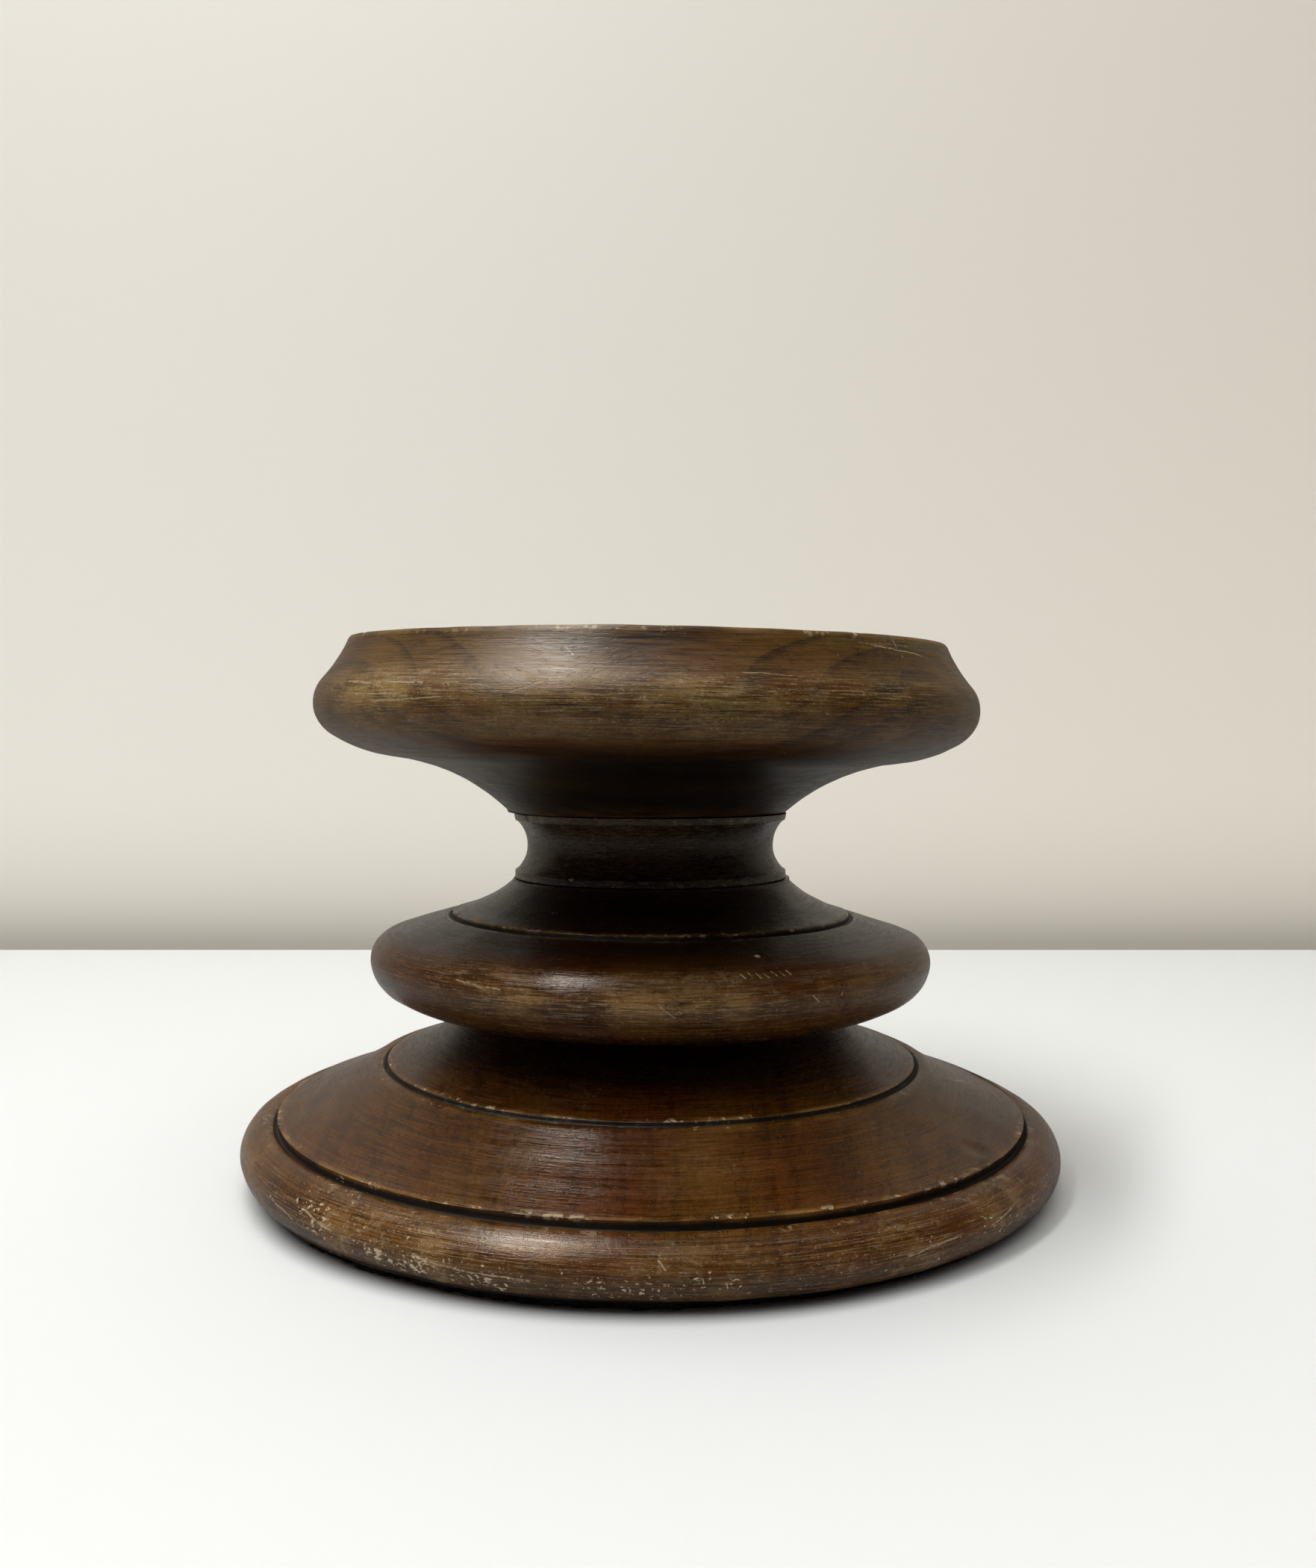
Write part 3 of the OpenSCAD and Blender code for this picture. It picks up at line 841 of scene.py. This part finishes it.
def stained_wood(
    name, groups, stains, plank, flecks, wear, ring_width=0.0055, rings=0.4, rough=0.12, knots=(),
    scratches=(), girth=0.08,
):
    """Walnut under a dark stain and a worn satin polish, for one section cut from its own plank."""
    figure, lathe, bare_wood, fleck_mask, scratch = groups
    deep, olive, red, worn = [(*stain, 1) for stain in stains]
    material, g, shader = new_material(name)
    place = g.node("TexCoord").outputs["Object"]
    location, turn = plank
    bowed = place
    for knot, spread, rise in knots:
        away = g.node("VectorMath", {0: place, 1: knot}, operation="DISTANCE").outputs["Value"]
        risen = g.step(away, 0.0, spread, rise, 0.0)
        bulge = g.node("CombineXYZ", {1: risen, 2: risen})
        bowed = g.node("VectorMath", {0: bowed, 1: bulge.outputs[0]}, operation="ADD").outputs[0]
    mapping = g.node("Mapping", {"Vector": bowed, "Location": location, "Rotation": turn})
    wood = g.group(figure, {"Plank": mapping.outputs[0], "Ring Width": ring_width})
    marks = g.group(lathe, {"Object": place, "Along": g.attribute("along")})
    handled = g.plus(g.times(g.attribute("proud"), 0.35), g.attribute("rubbed"))
    arris = g.attribute("arris")
    rubbed = g.group(
        bare_wood,
        {
            "Object": place,
            "Arris": arris,
            "Rubbed": handled,
            "Knock": g.attribute("bare"),
            "Drag": g.plus(g.times(marks["Drag"], 0.45), g.times(marks["Lines"], 0.55)),
            "Amount": wear,
        },
    )
    density = g.times(g.plus(g.attribute("flecked"), g.times(arris, 0.3)), flecks)
    specks = g.group(fleck_mask, {"Object": place, "Density": density})["Mask"]

    tone = g.plus(g.times(wood["Fibre"], 0.4), g.times(wood["Blotch"], 0.35))
    tone = g.plus(tone, g.times(marks["Drag"], 0.22))
    tone = g.plus(tone, g.times(marks["Lines"], 0.5))
    tone = g.plus(tone, g.times(wood["Ring"], -rings))
    tone = g.step(tone, -0.1, 1.35)
    colour = g.blend(wood["Hue"], olive, red)
    colour = g.blend(tone, deep, colour)
    # Painted shade under overhangs, and a dark knot on the cup, blended towards near-black
    shade_knot_share = g.math("MULTIPLY", g.attribute("shade_and_knot"), 0.85, clamp=True)
    colour = g.blend(shade_knot_share, colour, SHADE_AND_KNOT_BLACK)
    colour = g.blend(g.math("MULTIPLY", rubbed["Thin"], 0.75, clamp=True), colour, worn)
    colour = g.blend(g.times(wood["Pore"], 0.75), colour, PORE_BLACK)
    colour = g.blend(g.times(rubbed["Through"], 0.85), colour, BARE_WOOD)
    split = g.node("SeparateXYZ", {0: place}).outputs
    bearing = g.math("ARCTAN2", split[0], g.times(split[1], -1.0))
    unrolled = g.node("CombineXYZ", {0: g.times(bearing, girth), 1: split[2]}).outputs[0]
    for start, end, width in scratches:
        ends = [(math.radians(turned) * girth, height * MM, 0) for turned, height in (start, end)]
        inputs = {"Unrolled": unrolled, "Start": ends[0], "End": ends[1], "Width": width * MM}
        colour = g.blend(g.times(g.group(scratch, inputs)["Mask"], 0.75), colour, BARE_WOOD)
    scratched = g.times(marks["Scuffs"], handled)
    colour = g.blend(g.math("MULTIPLY", scratched, 0.4, clamp=True), colour, BARE_WOOD)
    # Painted shade: hollows and the joints between sections blended towards near-black
    nook = g.step(g.attribute("nook"), 0.55, 1.0)
    colour = g.blend(g.times(nook, 0.92), colour, HOLLOW_SHADE_BLACK)
    colour = g.blend(g.times(specks, 0.85), colour, DRIED_POLISH)
    g.put(shader.inputs["Base Color"], colour)

    gloss = g.plus(rough, g.times(wood["Fibre"], 0.05))
    gloss = g.plus(gloss, g.times(marks["Drag"], 0.12))
    gloss = g.plus(gloss, g.times(marks["Lines"], 0.07))
    gloss = g.plus(gloss, g.times(rubbed["Thin"], 0.12))
    gloss = g.plus(gloss, g.times(g.math("MAXIMUM", specks, nook), 0.3))
    g.put(shader.inputs["Roughness"], gloss)
    shader.inputs["Specular IOR Level"].default_value = 0.5
    shader.inputs["Specular Tint"].default_value = (1, 0.90, 0.79, 1)

    height = g.plus(g.times(wood["Fibre"], 0.45), g.times(marks["Lines"], 0.75))
    height = g.plus(height, g.times(marks["Drag"], 0.8))
    height = g.plus(height, g.times(wood["Pore"], -0.8))
    height = g.plus(height, g.times(rubbed["Through"], -0.5))
    height = g.plus(height, g.times(specks, 0.25))
    bump = g.node("Bump", {"Strength": 0.8, "Distance": 0.00005, "Height": height})
    g.put(shader.inputs["Normal"], bump.outputs[0])
    return material


def black_felt(name, shade=1.0):
    material, g, shader = new_material(name)
    place = g.node("TexCoord").outputs["Object"]
    tangle = g.noise(place, 1500, 4, 0.7, 1.2)
    clump = g.noise(place, 260, 3, 0.6)
    mix = g.plus(g.times(tangle, 0.7), g.times(clump, 0.5))
    dark = tuple(v * shade for v in FELT_DARK) + (1,)
    light = tuple(v * shade for v in FELT_LIGHT) + (1,)
    colour = g.blend(g.step(mix, 0.4, 0.85), dark, light)
    lint = g.step(g.noise(place, 700, 2, 0.5, 2.0), 0.70, 0.76)
    colour = g.blend(g.times(lint, 0.35), colour, LINT)
    g.put(shader.inputs["Base Color"], colour)
    shader.inputs["Roughness"].default_value = 0.95
    shader.inputs["Specular IOR Level"].default_value = 0.1
    shader.inputs["Sheen Weight"].default_value = 0.06
    shader.inputs["Sheen Roughness"].default_value = 0.5
    bump = g.node("Bump", {"Strength": 0.8, "Distance": 0.0004, "Height": mix})
    g.put(shader.inputs["Normal"], bump.outputs[0])
    return material


def zinc_steel(name, pitch=0.0):
    """Zinc-plated steel, with a thread's ridges where a pitch in metres is given."""
    material, g, shader = new_material(name)
    place = g.node("TexCoord").outputs["Object"]
    spangle = g.node("TexVoronoi", {"Vector": place, "Scale": 420.0}).outputs["Distance"]
    haze = g.noise(place, 240, 4, 0.6)
    shade = g.step(g.plus(g.times(spangle, 0.4), g.times(haze, 0.8)), 0.3, 0.9)
    colour = g.blend(shade, (0.36, 0.36, 0.35, 1), (0.66, 0.66, 0.64, 1))
    g.put(shader.inputs["Base Color"], colour)
    shader.inputs["Metallic"].default_value = 1.0
    g.put(shader.inputs["Roughness"], g.step(haze, 0.2, 0.8, 0.28, 0.5))
    height = g.times(haze, 0.2)
    if pitch:
        split = g.node("SeparateXYZ", {0: place}).outputs
        angle = g.math("ARCTAN2", split[1], split[0])
        climb = g.plus(g.times(split[2], 1 / pitch), g.times(angle, -1 / FULL_TURN))
        height = g.plus(height, g.math("PINGPONG", climb, 0.5))
    bump = g.node("Bump", {"Strength": 0.8, "Distance": 0.0006, "Height": height})
    g.put(shader.inputs["Normal"], bump.outputs[0])
    return material


def finish_in(piece, material):
    piece.data.materials.clear()
    piece.data.materials.append(material)


# ---------------------------------------------------------------- camera, light and stage


def one_sided(name, colour_of, dulled, glow=0.0):
    """A matt stage material that is seen from its front only, and is duller in reflections."""
    material, g, shader = new_material(name)
    mirrored = g.node("LightPath").outputs["Is Glossy Ray"]
    colour = g.blend(g.times(mirrored, dulled), colour_of(g), DULL_ROOM)
    g.put(shader.inputs["Base Color"], colour)
    shader.inputs["Roughness"].default_value = 0.6
    shader.inputs["Emission Color"].default_value = WALL_GLOW
    shader.inputs["Emission Strength"].default_value = glow
    shader.inputs["Specular IOR Level"].default_value = 0.25
    away = g.node("NewGeometry").outputs["Backfacing"]
    clear = g.node("BsdfTransparent").outputs[0]
    shown = g.node("MixShader", {0: away, 1: shader.outputs[0], 2: clear})
    g.put(material.node_tree.nodes["Material Output"].inputs["Surface"], shown.outputs[0])
    return material


def desk_paint(g):
    """White, and dark to the wood's reflections past the desk's near edge."""
    split = g.node("SeparateXYZ", {0: g.node("TexCoord").outputs["Object"]}).outputs
    past = g.step(split[1], -0.34, -0.24, 1.0, 0.0)
    unseen = g.math("SUBTRACT", 1.0, g.node("LightPath").outputs["Is Camera Ray"])
    return g.blend(g.times(past, unseen), (0.765, 0.78, 0.775, 1), (0.03, 0.03, 0.03, 1))


def wall_paint(g):
    """Warm white, darker low down where the desk's edge shades it."""
    split = g.node("SeparateXYZ", {0: g.node("TexCoord").outputs["Object"]}).outputs
    low = g.step(split[2], -0.03, 0.10)
    side = g.step(split[0], -0.35, 0.45)
    colour = g.blend(side, (0.85, 0.83, 0.775, 1), (0.885, 0.84, 0.765, 1))
    return g.blend(low, (0.70, 0.67, 0.60, 1), colour)


def make_stage():
    desk_edge = 384 * MM
    deselect()
    bpy.ops.mesh.primitive_plane_add(size=1, location=(0, 0, 0))
    desk = named(bpy.context.active_object, "desk_top")
    corners = [(-3, -3), (3, -3), (-3, desk_edge), (3, desk_edge)]
    for vertex, (x, y) in zip(desk.data.vertices, corners):
        vertex.co = (x, y, -0.02 * MM)
    finish_in(desk, one_sided("white_desk", desk_paint, 0.6))

    deselect()
    bpy.ops.mesh.primitive_plane_add(size=1, location=(0, 0, 0))
    wall = named(bpy.context.active_object, "wall")
    corners = [(-3, -0.6), (3, -0.6), (-3, 2.4), (3, 2.4)]
    for vertex, (x, z) in zip(wall.data.vertices, corners):
        vertex.co = (x, desk_edge + 30 * MM, z)
    finish_in(wall, one_sided("wall_paint", wall_paint, 0.7, 1.0))


def make_camera():
    data = bpy.data.cameras.new("camera")
    data.lens = 36 * 1763 / 2100
    data.sensor_width = 36
    data.sensor_fit = "AUTO"
    data.clip_start = 0.01
    camera = bpy.data.objects.new("camera", data)
    bpy.context.collection.objects.link(camera)
    camera.location = (2.06 * MM, -367 * MM, 112.7 * MM)
    camera.rotation_euler = (math.radians(88.65), 0, 0)
    bpy.context.scene.camera = camera


def add_softbox(name, place, target, size, power, colour):
    data = bpy.data.lights.new(name, "AREA")
    data.shape = "RECTANGLE"
    data.size, data.size_y = size
    data.energy = power
    data.color = colour
    light = bpy.data.objects.new(name, data)
    bpy.context.collection.objects.link(light)
    light.location = place
    way = Vector(target) - Vector(place)
    light.rotation_euler = way.to_track_quat("-Z", "Y").to_euler()
    return light


def make_lights():
    """A long ceiling strip left of the stand, its brighter core for the gloss, and a soft fill."""
    strip = add_softbox("ceiling_strip", (-0.62, -0.35, 1.6), (0, 0, 0.05), (0.22, 2.1), 27, WARM_WHITE)
    core = add_softbox("strip_core", (-0.62, -0.35, 1.61), (0, 0, 0.05), (0.16, 2.1), 17, WARM_CORE)
    core.visible_diffuse = False
    for light in (strip, core):
        light.rotation_euler = (0, math.radians(-20), math.radians(-24))
    ceiling = add_softbox("ceiling", (0.1, -0.9, 1.9), (0, 0.1, 0), (1.8, 1.4), 9, WARM_WHITE)
    ceiling.visible_glossy = False
    world = bpy.data.worlds.new("room")
    bpy.context.scene.world = world
    world.use_nodes = True
    g = Graph(world.node_tree)
    split = g.node("SeparateXYZ", {0: g.node("TexCoord").outputs["Generated"]}).outputs
    up = g.step(split[2], 0.45, 1.0, 0.0, 0.8)
    back = g.step(split[1], -0.2, 0.8, 0.006, 0.10)
    background = world.node_tree.nodes["Background"].inputs
    g.put(background["Color"], (1, 0.995, 0.98, 1))
    dim = g.plus(1.0, g.times(g.node("LightPath").outputs["Is Glossy Ray"], -0.8))
    g.put(background["Strength"], g.times(g.plus(up, back), dim))
    bpy.context.scene.view_settings.view_transform = "Standard"


# ---------------------------------------------------------------- the stand


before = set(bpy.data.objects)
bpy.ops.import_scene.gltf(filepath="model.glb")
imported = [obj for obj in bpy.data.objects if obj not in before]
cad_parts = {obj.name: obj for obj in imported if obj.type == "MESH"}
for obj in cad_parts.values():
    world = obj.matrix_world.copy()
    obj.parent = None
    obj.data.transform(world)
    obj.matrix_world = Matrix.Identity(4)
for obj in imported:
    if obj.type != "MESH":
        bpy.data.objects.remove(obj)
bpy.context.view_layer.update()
make_camera()
make_lights()
make_stage()

groups = (walnut_figure_group(), lathe_marks_group(), bare_wood_group(), flecks_group(), scratch_group())

finish_in(
    make_foot(),
    stained_wood(
        "foot_walnut", groups,
        [(0.013, 0.0024, 0.0002), (0.112, 0.042, 0.003), (0.095, 0.023, 0.0012), (0.28, 0.14, 0.034)],
        ((0.0, -0.16, 0.02), (0.05, 0.03, -1.45)), 1.0, 1.3, 0.008, 0.25,
        scratches=[
            ((-44.0, 12.6), (-38.0, 11.0), 0.3), ((-52.0, 12.0), (-46.0, 9.6), 0.25),
            ((-24.0, 9.2), (-12.0, 8.4), 0.25), ((1.5, 13.0), (2.2, 11.6), 0.25),
            ((30.0, 9.0), (38.0, 10.2), 0.25), ((44.0, 9.6), (50.0, 11.4), 0.25),
            ((-130.0, 11.0), (-118.0, 9.6), 0.3), ((80.0, 26.0), (88.0, 22.0), 0.25),
        ],
        girth=0.11,
    ),
)
finish_in(
    make_knop(),
    stained_wood(
        "knop_walnut", groups,
        [(0.010, 0.0014, 0.0001), (0.092, 0.036, 0.004), (0.072, 0.0135, 0.0008), (0.34, 0.18, 0.048)],
        ((0.1, 0.19, -0.05), (0.06, 0.04, -1.3)), 0.6, 0.8, 0.009, 0.22, rough=0.09,
        scratches=[
            *[((17.0 + i * 1.5, 63.4), (17.6 + i * 1.5, 62.6), 0.22) for i in range(7)],
            ((-36.0, 60.5), (-26.0, 59.4), 0.25), ((30.0, 58.0), (31.5, 56.2), 0.22),
            ((2.0, 57.6), (5.0, 54.6), 0.2), ((160.0, 60.0), (172.0, 58.0), 0.3),
        ],
    ),
)
finish_in(
    make_neck(),
    stained_wood(
        "neck_walnut", groups,
        # The neck's stains are about a third as bright as the other sections': painted shade from the
        # cup that overhangs it
        [(0.003, 0.0010, 0.0002), (0.040, 0.021, 0.005), (0.034, 0.011, 0.002), (0.14, 0.09, 0.035)],
        ((-0.3, 0.05, -0.04), (0.02, -0.03, 0.4)), 0.0, 0.25,
    ),
)
finish_in(
    make_cup(),
    stained_wood(
        "cup_walnut", groups,
        [(0.015, 0.0040, 0.0003), (0.145, 0.072, 0.006), (0.112, 0.040, 0.002), (0.30, 0.185, 0.050)],
        ((0.1, 0.055, -0.10), (0.05, -0.03, 0.08)), 0.5, 0.9, 0.006, 0.4, rough=0.27,
        knots=[((-0.0183, -0.0861, 0.122), 0.024, 0.008), ((0.054, -0.069, 0.1307), 0.009, 0.005)],
        scratches=[
            ((38.0, 138.6), (53.0, 136.6), 0.2), ((45.0, 142.0), (45.8, 138.2), 0.24),
            ((-52.0, 130.4), (-34.0, 129.2), 0.28), ((-49.0, 127.4), (-38.0, 127.0), 0.25),
            ((-44.0, 125.4), (-30.0, 125.8), 0.2), ((14.0, 131.0), (22.0, 130.2), 0.14),
            ((-12.0, 136.6), (-10.6, 134.8), 0.16), ((-19.0, 126.4), (-14.0, 128.8), 0.12),
            ((150.0, 131.0), (166.0, 128.6), 0.35), ((-150.0, 136.0), (-158.0, 138.0), 0.3),
        ],
        girth=0.088,
    ),
)
finish_in(make_foot_felt(), black_felt("sole_felt"))
finish_in(make_felt_fibres(), black_felt("felt_fibre", 3.0))
finish_in(make_dish_felt(), black_felt("dish_felt", 1.3))

zinc = zinc_steel("zinc_plate")
for node in ("foot_washer", "foot_nut", "cup_washer", "cup_nut"):
    finish_in(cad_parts[node], zinc)
finish_in(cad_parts["tie_rod"], zinc_steel("zinc_thread", 1.25 * MM))
